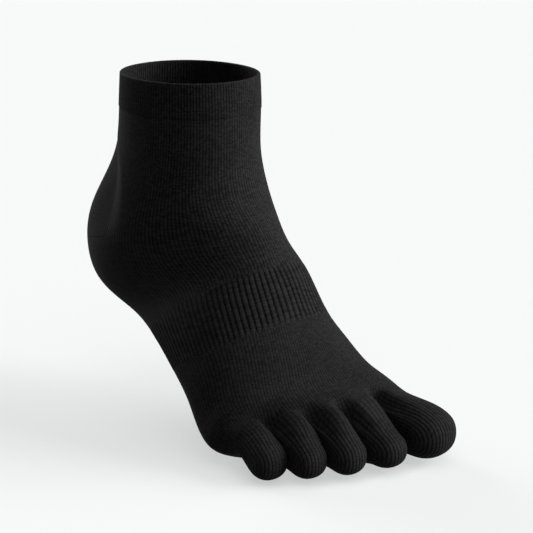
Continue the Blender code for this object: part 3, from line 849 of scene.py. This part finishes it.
def toe_skin(number, shares, across, up):
    """A pocket's smooth skin in foot coordinates, the share of its length and its middle line.

    Rows run from the toe line along the top by a cubic, round the tip as a squarish ellipsoid
    with a pole at each side, and back below. Columns are the slices across the toe.
    """
    toe = TOE_ROWS[number]
    half_height = 0.5 * toe.height * BALL_WIDTH
    top, top_way = toe_edge(number, True, shares)
    low, low_way = toe_edge(number, False, shares)
    base = 0.5 * (top.mean(axis=0) + low.mean(axis=0))
    tip = np.array([toe.tip_reach * FOOT_REACH, toe.tip_across * BALL_WIDTH, 0.0])
    tip[2] = toe.lift * BALL_WIDTH + half_height
    ahead = (tip - base) * [1.0, 1.0, 0.0]
    length = np.linalg.norm(ahead)
    ahead /= length
    aside = np.array([-ahead[1], ahead[0], 0.0])
    tip_length = TOE_TIP_SHARE * length
    middle = tip - tip_length * ahead

    turn = np.linspace(math.radians(TOE_SLOPE), math.pi, TIP_STEPS + 1)[:, None]
    round_up = power(np.cos(turn), TOE_BEND) * up * half_height
    round_on = np.abs(np.sin(turn)) ** TOE_BEND * up * tip_length
    tip_rows = (
        middle
        + round_on[..., None] * ahead
        + across[:, None] * aside
        + round_up[..., None] * [0.0, 0.0, 1.0]
    )
    centre_column = tip_rows[:, len(across) // 2]
    down = centre_column[1] - centre_column[0]
    down /= np.linalg.norm(down)

    t = np.linspace(0.0, 1.0, TOE_STEPS + 1)[:-1, None, None]
    over_length = np.linalg.norm(tip_rows[0] - top, axis=-1, keepdims=True)
    over = cubic(t, top, top_way, tip_rows[0], down, over_length)
    under_length = np.linalg.norm(tip_rows[-1] - low, axis=-1, keepdims=True)
    under = cubic(t, low, low_way, tip_rows[-1], ahead, under_length)
    skin = np.concatenate([over, tip_rows, under[::-1]])
    along = np.concatenate([t[:, 0, 0], np.ones(len(tip_rows)), t[::-1, 0, 0]])
    halfway = 0.5 * (over.mean(axis=1) + under.mean(axis=1))
    tip_middle = np.broadcast_to(middle, (len(tip_rows), 3))
    centres = np.concatenate([halfway, tip_middle, halfway[::-1]])
    return held_apart(skin, along, number), along, centres[:, None]


def toe_ids(rows, columns):
    """Point numbers of a pocket's grid: its sides close, and round the tip each is a pole."""
    numbers = np.arange(rows * columns).reshape(rows, columns)
    for column in (0, -1):
        numbers[:TOE_STEPS, column] = numbers[::-1, column][:TOE_STEPS]
        numbers[TOE_STEPS : TOE_STEPS + TIP_STEPS + 1, column] = numbers[TOE_STEPS, column]
    return numbers


def build_toe(number, finish):
    """A toe pocket whose wales run over the toe and nest round its two sides.

    The relief of the wales and the wall are measured along arms from the pocket's middle line.
    The relief grows from the root on, and ends at the two sides.
    """
    toe = TOE_ROWS[number]
    wale, across, up = toe_slices(toe)
    skin, along, centres = toe_skin(number, wale / wale[-1], across, up)
    skin, centres = place(skin), place(centres)
    arms = skin - centres
    arms /= np.linalg.norm(arms, axis=-1, keepdims=True)
    grown = smooth_step((along - TOE_RELIEF_START) / TOE_RELIEF_GROWTH)[:, None]
    fade = smooth_step(up / TOE_RELIEF_FADE)
    relief = TOE_RELIEF * (wale_relief(wale) - 1.0) * grown * fade
    return shell(
        "toe_pocket_" + toe.name,
        skin + relief[..., None] * arms,
        skin - WALL * arms,
        stitch_grid(skin, wale),
        finish,
        toe.name,
        toe_ids(*skin.shape[:2]),
    )


def linear(colour):
    """An sRGB hex colour as the linear colour that Blender's shaders take."""
    parts = np.array([int(colour[start : start + 2], 16) for start in (1, 3, 5)]) / 255.0
    return [*np.where(parts <= 0.04045, parts / 12.92, ((parts + 0.055) / 1.055) ** 2.4), 1.0]


def add(tree, kind, sockets=None, **settings):
    """Adds a node with its settings. A socket gets a value, or a link where that is an output."""
    made = tree.nodes.new("ShaderNode" + kind)
    for setting, value in settings.items():
        setattr(made, setting, value)
    for socket, value in (sockets or {}).items():
        if isinstance(value, bpy.types.NodeSocket):
            tree.links.new(value, made.inputs[socket])
        else:
            made.inputs[socket].default_value = value
    return made


def loop_height(tree, stitches):
    """Height of the knit's V-shaped loops, from 0 in the groove between wales to 1.

    With f the place across a wale and m = |2f - 1|, it is (1 - m^LOOP_ROUNDNESS) times
    (1 - LOOP_BEAT + LOOP_BEAT sin(2 pi (course + LOOP_SLANT m))).
    """
    parts = add(tree, "SeparateXYZ", {0: stitches}).outputs
    across = add(tree, "Math", {0: parts["X"], 1: 1.0}, operation="FRACT").outputs[0]
    swing = add(tree, "Math", {0: across, 1: 2.0, 2: -1.0}, operation="MULTIPLY_ADD").outputs[0]
    from_middle = add(tree, "Math", {0: swing}, operation="ABSOLUTE").outputs[0]
    steep = add(tree, "Math", {0: from_middle, 1: LOOP_ROUNDNESS}, operation="POWER").outputs[0]
    loop = add(tree, "Math", {0: 1.0, 1: steep}, operation="SUBTRACT").outputs[0]
    slant = {0: from_middle, 1: LOOP_SLANT, 2: parts["Y"]}
    course = add(tree, "Math", slant, operation="MULTIPLY_ADD").outputs[0]
    turn = add(tree, "Math", {0: course, 1: math.tau}, operation="MULTIPLY").outputs[0]
    wave = add(tree, "Math", {0: turn}, operation="SINE").outputs[0]
    swell = {0: wave, 1: LOOP_BEAT, 2: 1.0 - LOOP_BEAT}
    beat = add(tree, "Math", swell, operation="MULTIPLY_ADD").outputs[0]
    return add(tree, "Math", {0: loop, 1: beat}, operation="MULTIPLY").outputs[0]


def knit(name, dark, light, relief, fuzz, sheen):
    """Knitted cotton yarn, from its dark grooves to its light loops, with shade and light painted
    into its colour.

    The share of the light colour is the sum of the loops' height, which paints shade into the
    grooves and light onto the loops, a value of its own for each stitch, the fibres and the tone,
    each times its weight, and WEIGHTS_START, held between 0 and 1 and darkened by painted shade
    in the seam's groove. The surface is raised by relief times the sum of the height, fuzz times
    the fibres and SEAM_SINK outside the groove. Roughness rises with the fibres, and the sheen is
    the soft bloom of fibre ends seen from the side.
    """
    finish = bpy.data.materials.new(name)
    finish.use_nodes = True
    tree = finish.node_tree
    shader = tree.nodes["Principled BSDF"]
    stitches = add(tree, "UVMap", uv_map="stitches").outputs["UV"]
    height = loop_height(tree, stitches)
    whole = add(tree, "VectorMath", {0: stitches}, operation="FLOOR").outputs[0]
    each = add(tree, "TexWhiteNoise", {"Vector": whole}, noise_dimensions="2D").outputs["Value"]
    spot = add(tree, "TexCoord").outputs["Object"]
    tufts = {"Vector": spot, "Scale": 1.0 / FIBRE_SIZE, "Detail": 3.0}
    fibres = add(tree, "TexNoise", tufts).outputs[0]
    patches = {"Vector": spot, "Scale": 1.0 / TONE_SIZE, "Detail": 2.0}
    tone = add(tree, "TexNoise", patches).outputs[0]
    seam = add(tree, "Attribute", attribute_name="seam").outputs["Fac"]
    to_edge = {0: seam, 1: 1.0 / SEAM_WIDTH}
    out_of_seam = add(tree, "Math", to_edge, operation="MULTIPLY", use_clamp=True).outputs[0]

    share = WEIGHTS_START
    # painted shade and light: the loops' height darkens the colour in the grooves between wales
    # and lightens it on the loops
    weights = ((height, PAINTED_LOOP_SHADE_WEIGHT), (each, STITCH_WEIGHT), (fibres, FIBRE_WEIGHT))
    for cause, weight in weights:
        more = {0: cause, 1: weight, 2: share}
        share = add(tree, "Math", more, operation="MULTIPLY_ADD").outputs[0]
    last = {0: tone, 1: TONE_WEIGHT, 2: share}
    share = add(tree, "Math", last, operation="MULTIPLY_ADD", use_clamp=True).outputs[0]
    # painted shade: the colour darkens towards the bottom of the seam's groove
    lit = {0: out_of_seam, 1: 1.0 - PAINTED_SEAM_SHADE, 2: PAINTED_SEAM_SHADE}
    shade = add(tree, "Math", lit, operation="MULTIPLY_ADD").outputs[0]
    share = add(tree, "Math", {0: share, 1: shade}, operation="MULTIPLY").outputs[0]
    colours = {"Factor": share, 6: linear(dark), 7: linear(light)}
    colour = add(tree, "Mix", colours, data_type="RGBA").outputs[2]
    tree.links.new(colour, shader.inputs["Base Color"])

    rough = add(tree, "Math", {0: fibres, 1: 0.15, 2: 0.8}, operation="MULTIPLY_ADD").outputs[0]
    tree.links.new(rough, shader.inputs["Roughness"])
    fuzzy = add(tree, "Math", {0: fibres, 1: fuzz, 2: height}, operation="MULTIPLY_ADD").outputs[0]
    raised = {0: out_of_seam, 1: SEAM_SINK, 2: fuzzy}
    surface = add(tree, "Math", raised, operation="MULTIPLY_ADD").outputs[0]
    bump = add(tree, "Bump", {"Height": surface, "Distance": relief, "Strength": 1.0})
    tree.links.new(bump.outputs[0], shader.inputs["Normal"])
    shader.inputs["Specular IOR Level"].default_value = 0.02
    shader.inputs["Sheen Weight"].default_value = sheen
    shader.inputs["Sheen Roughness"].default_value = 0.4
    shader.inputs["Sheen Tint"].default_value = linear("#8c8c8c")
    return finish


def cotton_jersey():
    """Plain jersey of black cotton, little stretched.

    It gives a deep matt black with fine, slightly uneven columns of loops.
    """
    return knit("cotton_jersey", "#000000", "#121212", relief=0.09 * MM, fuzz=0.6, sheen=0.025)


def stretched_jersey():
    """The same jersey where the foot stretches it.

    It gives a smoother, slightly greyer black, because its loops lie flatter and further apart.
    """
    return knit("stretched_jersey", "#020202", "#101010", relief=0.07 * MM, fuzz=0.6, sheen=0.02)


def elastic_ribbing():
    """Cotton knitted with an elastic thread that pulls the wales together.

    It gives sharper columns, with darker grooves between them.
    """
    return knit("elastic_ribbing", "#000000", "#111111", relief=0.15 * MM, fuzz=0.5, sheen=0.025)


def white_paper():
    """Uncoated white paper, rolled out flat and evenly lit.

    It gives an even, matt ground without a reflection, on which the sock's shadow stays pale.
    """
    paper = bpy.data.materials.new("white_paper")
    paper.use_nodes = True
    shader = paper.node_tree.nodes["Principled BSDF"]
    shader.inputs["Base Color"].default_value = linear("#595959")
    shader.inputs["Roughness"].default_value = 0.9
    shader.inputs["Specular IOR Level"].default_value = 0.0
    shader.inputs["Emission Color"].default_value = linear("#fbfffd")
    shader.inputs["Emission Strength"].default_value = PAPER_GLOW
    return paper


def build_camera():
    """The camera, aimed from CAMERA_SPOT at CAMERA_AIM."""
    data = bpy.data.cameras.new("camera")
    data.lens = CAMERA_LENS
    data.sensor_width = CAMERA_SENSOR
    camera = bpy.data.objects.new("camera", data)
    camera.location = CAMERA_SPOT
    camera.rotation_euler = (CAMERA_AIM - CAMERA_SPOT).to_track_quat("-Z", "Y").to_euler()
    bpy.context.scene.collection.objects.link(camera)
    bpy.context.scene.camera = camera


def build_floor(finish):
    """A plain square on the level that the sock stands on."""
    signs = ((-1, -1), (1, -1), (1, 1), (-1, 1))
    corners = [(x * FLOOR_REACH, y * FLOOR_REACH, FLOOR) for x, y in signs]
    mesh = bpy.data.meshes.new("floor")
    mesh.from_pydata(corners, [], [(0, 1, 2, 3)])
    mesh.materials.append(finish)
    floor = bpy.data.objects.new("floor", mesh)
    bpy.context.scene.collection.objects.link(floor)


def build_lights():
    """The even light from all round, and the soft, far lights of STUDIO_LIGHTS."""
    world = bpy.data.worlds.new("studio")
    world.use_nodes = True
    sky = world.node_tree.nodes["Background"]
    sky.inputs["Color"].default_value = linear("#fbfcfc")
    sky.inputs["Strength"].default_value = ROOM_LIGHT
    bpy.context.scene.world = world
    for light in STUDIO_LIGHTS:
        data = bpy.data.lights.new(light.name, "SUN")
        data.angle = math.radians(light.softness)
        data.energy = light.strength
        lamp = bpy.data.objects.new(light.name, data)
        spot = light.right * CAMERA_RIGHT + light.behind * CAMERA_AHEAD
        spot += Vector((0.0, 0.0, light.above))
        lamp.rotation_euler = (-spot).to_track_quat("-Z", "Y").to_euler()
        bpy.context.scene.collection.objects.link(lamp)


def main():
    """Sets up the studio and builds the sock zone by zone."""
    bpy.context.scene.view_settings.view_transform = "Standard"
    build_camera()
    build_floor(white_paper())
    build_lights()
    jersey, stretched, ribbing = cotton_jersey(), stretched_jersey(), elastic_ribbing()
    build_cuff(ribbing)
    build_leg_and_foot(jersey)
    build_heel(jersey)
    build_arch_band(ribbing)
    build_forefoot(stretched)
    for number in range(len(TOE_ROWS)):
        build_toe(number, stretched)


main()
